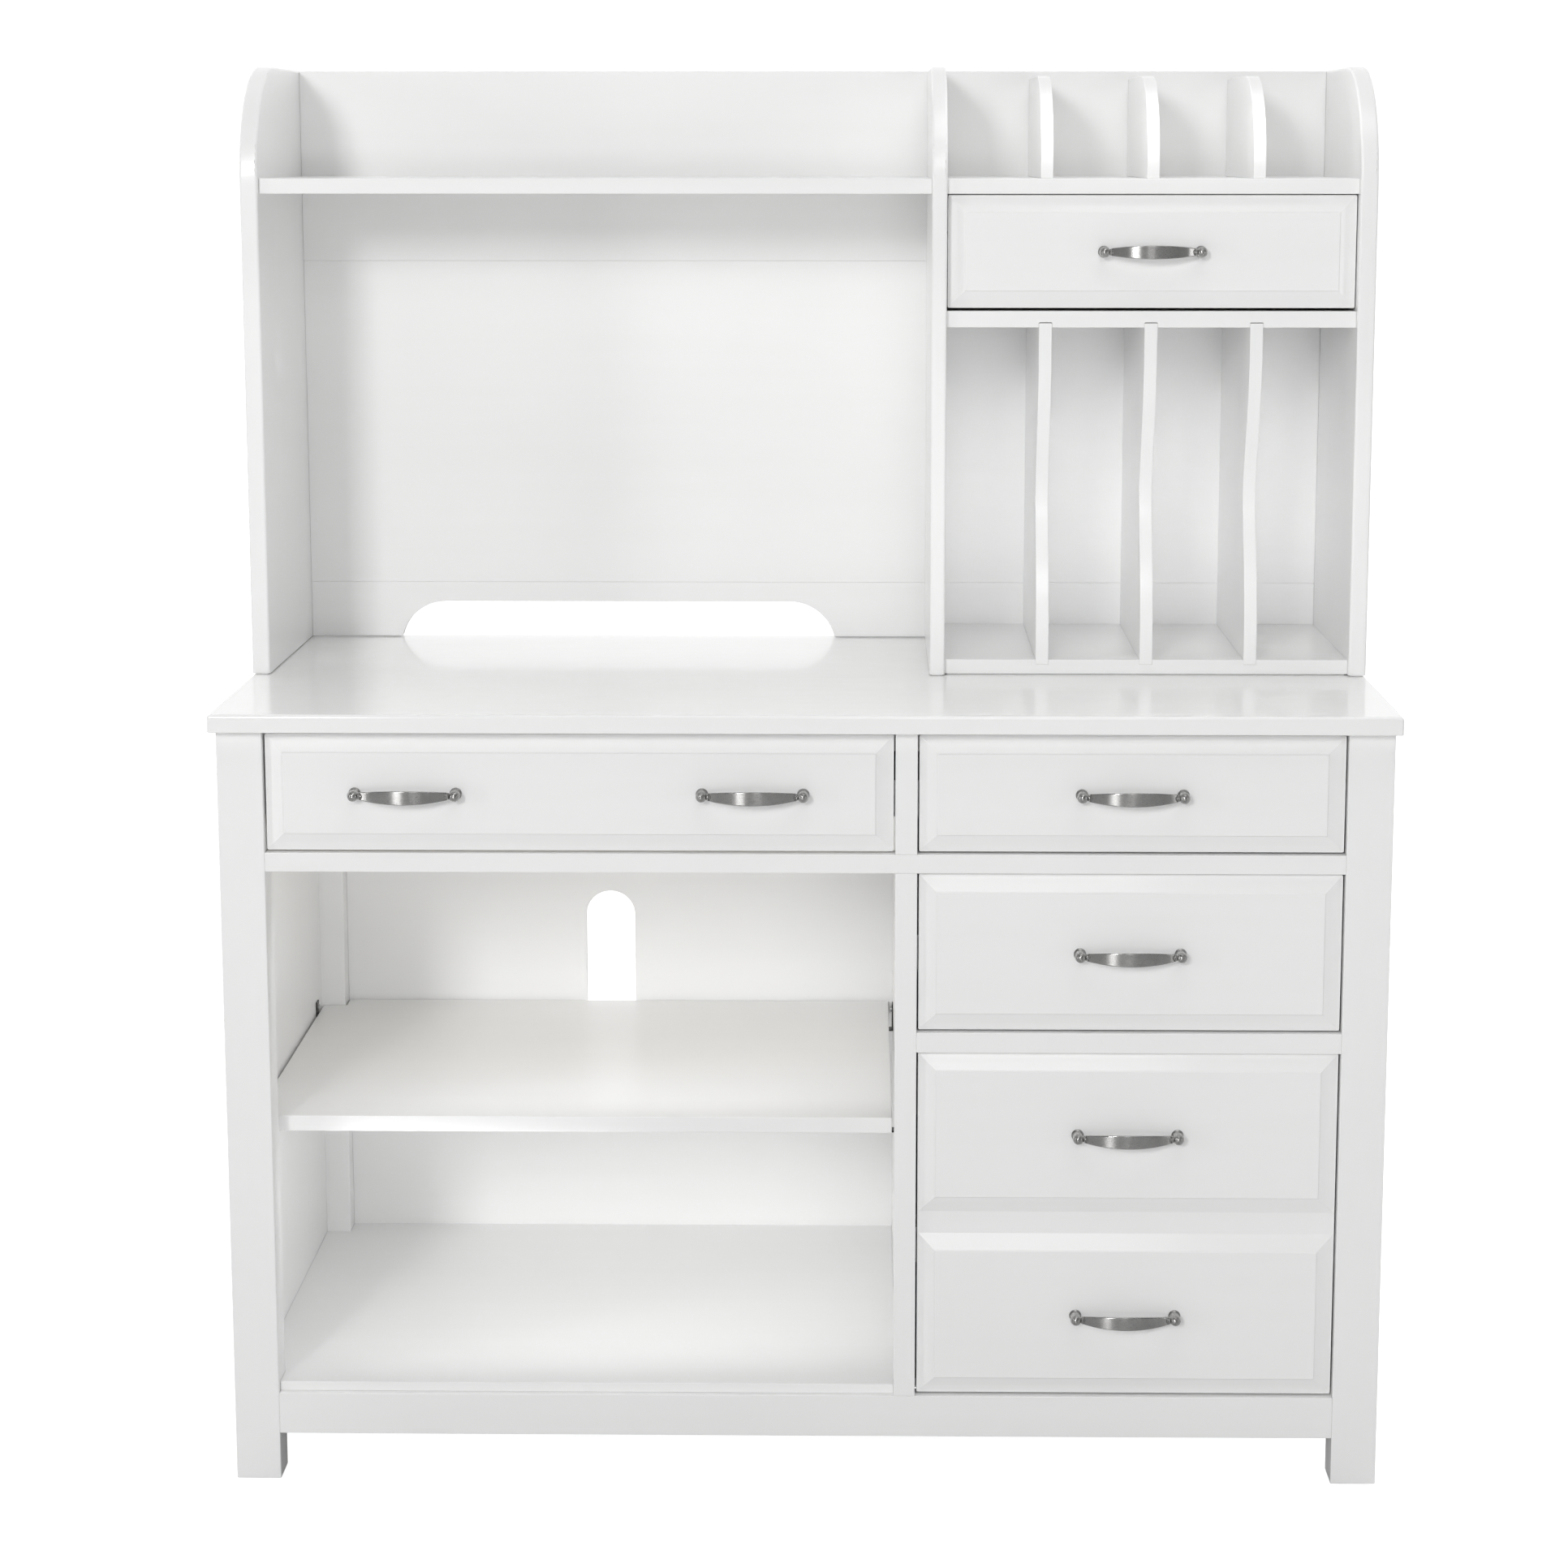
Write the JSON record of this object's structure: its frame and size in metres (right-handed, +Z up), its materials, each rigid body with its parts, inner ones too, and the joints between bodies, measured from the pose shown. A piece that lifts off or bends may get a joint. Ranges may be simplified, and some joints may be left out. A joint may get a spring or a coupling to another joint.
{
  "type": "sewing desk with hutch",
  "caption": "Counter-height sewing desk with a full-width hutch, open bay with an adjustable shelf, upright pattern slots and inset drawers on ball-bearing slides.",
  "frame": {"origin": "centre of the bounding box at floor level", "axes": "+Z up, the front with the drawers faces -Y, +X to the right seen from the front"},
  "size_m": [1.341, 0.6252, 1.638],
  "materials": {
    "white_lacquer": "white satin-gloss lacquer on wood and board",
    "drawer_wood": "clear-coated pale birch",
    "satin_nickel": "brushed satin nickel",
    "slide_steel": "zinc-plated steel",
    "dark_metal": "dark zinc",
    "glide_plastic": "pale nylon"
  },
  "bodies": {
    "cabinet": {"base_back_panel": "white_lacquer", "bay_floor_left": "white_lacquer", "bay_floor_right": "white_lacquer", "bottom_rails": "white_lacquer", "centre_partition": "white_lacquer", "centre_posts": "white_lacquer", "cubby_dividers": "white_lacquer", "drawer_rail_lower": "white_lacquer", "drawer_rail_upper": "white_lacquer", "hutch_back_lower": "white_lacquer", "hutch_back_panel": "white_lacquer", "hutch_back_upper": "white_lacquer", "hutch_drawer_shelf": "white_lacquer", "hutch_long_shelf": "white_lacquer", "hutch_partition": "white_lacquer", "hutch_short_shelf": "white_lacquer", "hutch_side_left": "white_lacquer", "hutch_side_right": "white_lacquer", "leg_front_left": "white_lacquer", "leg_front_right": "white_lacquer", "leg_glides": "glide_plastic", "leg_rear_left": "white_lacquer", "leg_rear_right": "white_lacquer", "mounting_plates": "slide_steel", "screws": "slide_steel", "shelf": "white_lacquer", "shelf_brackets": "dark_metal", "side_panel_left": "white_lacquer", "side_panel_right": "white_lacquer", "slide_cabinet_members": "slide_steel", "slide_cleats": "drawer_wood", "slot_dividers": "white_lacquer", "slot_floor": "white_lacquer", "top_stretchers": "white_lacquer", "worktop": "white_lacquer"},
    "left_drawer": {"left_drawer_box": "drawer_wood", "left_drawer_front": "white_lacquer", "left_drawer_pull": "satin_nickel", "left_drawer_slide_inner": "slide_steel"},
    "left_drawer_slides": {"left_drawer_slide_middle": "slide_steel"},
    "top_right_drawer": {"top_right_drawer_box": "drawer_wood", "top_right_drawer_front": "white_lacquer", "top_right_drawer_pull": "satin_nickel", "top_right_drawer_slide_inner": "slide_steel"},
    "top_right_drawer_slides": {"top_right_drawer_slide_middle": "slide_steel"},
    "middle_right_drawer": {"middle_right_drawer_box": "drawer_wood", "middle_right_drawer_front": "white_lacquer", "middle_right_drawer_pull": "satin_nickel", "middle_right_drawer_slide_inner": "slide_steel"},
    "middle_right_drawer_slides": {"middle_right_drawer_slide_middle": "slide_steel"},
    "file_drawer": {"file_drawer_box": "drawer_wood", "file_drawer_front": "white_lacquer", "file_drawer_pull": "satin_nickel", "file_drawer_slide_inner": "slide_steel"},
    "file_drawer_slides": {"file_drawer_slide_middle": "slide_steel"},
    "hutch_drawer": {"hutch_drawer_box": "drawer_wood", "hutch_drawer_front": "white_lacquer", "hutch_drawer_pull": "satin_nickel", "hutch_drawer_slide_inner": "slide_steel"},
    "hutch_drawer_slides": {"hutch_drawer_slide_middle": "slide_steel"}
  },
  "joints": [
    {"name": "left_drawer_slide", "type": "slide", "parent": "cabinet", "child": "left_drawer", "axis": [0, -1, 0], "range_m": [0, 0.45]},
    {"name": "left_drawer_runner", "type": "slide", "parent": "cabinet", "child": "left_drawer_slides", "axis": [0, -1, 0], "range_m": [0, 0.225]},
    {"name": "top_right_drawer_slide", "type": "slide", "parent": "cabinet", "child": "top_right_drawer", "axis": [0, -1, 0], "range_m": [0, 0.45]},
    {"name": "top_right_drawer_runner", "type": "slide", "parent": "cabinet", "child": "top_right_drawer_slides", "axis": [0, -1, 0], "range_m": [0, 0.225]},
    {"name": "middle_right_drawer_slide", "type": "slide", "parent": "cabinet", "child": "middle_right_drawer", "axis": [0, -1, 0], "range_m": [0, 0.45]},
    {"name": "middle_right_drawer_runner", "type": "slide", "parent": "cabinet", "child": "middle_right_drawer_slides", "axis": [0, -1, 0], "range_m": [0, 0.225]},
    {"name": "file_drawer_slide", "type": "slide", "parent": "cabinet", "child": "file_drawer", "axis": [0, -1, 0], "range_m": [0, 0.45]},
    {"name": "file_drawer_runner", "type": "slide", "parent": "cabinet", "child": "file_drawer_slides", "axis": [0, -1, 0], "range_m": [0, 0.225]},
    {"name": "hutch_drawer_slide", "type": "slide", "parent": "cabinet", "child": "hutch_drawer", "axis": [0, -1, 0], "range_m": [0, 0.25]},
    {"name": "hutch_drawer_runner", "type": "slide", "parent": "cabinet", "child": "hutch_drawer_slides", "axis": [0, -1, 0], "range_m": [0, 0.125]}
  ],
  "couplings": [
    {"joint": "left_drawer_runner", "follows": "left_drawer_slide", "ratio": 0.5},
    {"joint": "top_right_drawer_runner", "follows": "top_right_drawer_slide", "ratio": 0.5},
    {"joint": "middle_right_drawer_runner", "follows": "middle_right_drawer_slide", "ratio": 0.5},
    {"joint": "file_drawer_runner", "follows": "file_drawer_slide", "ratio": 0.5},
    {"joint": "hutch_drawer_runner", "follows": "hutch_drawer_slide", "ratio": 0.5}
  ]
}
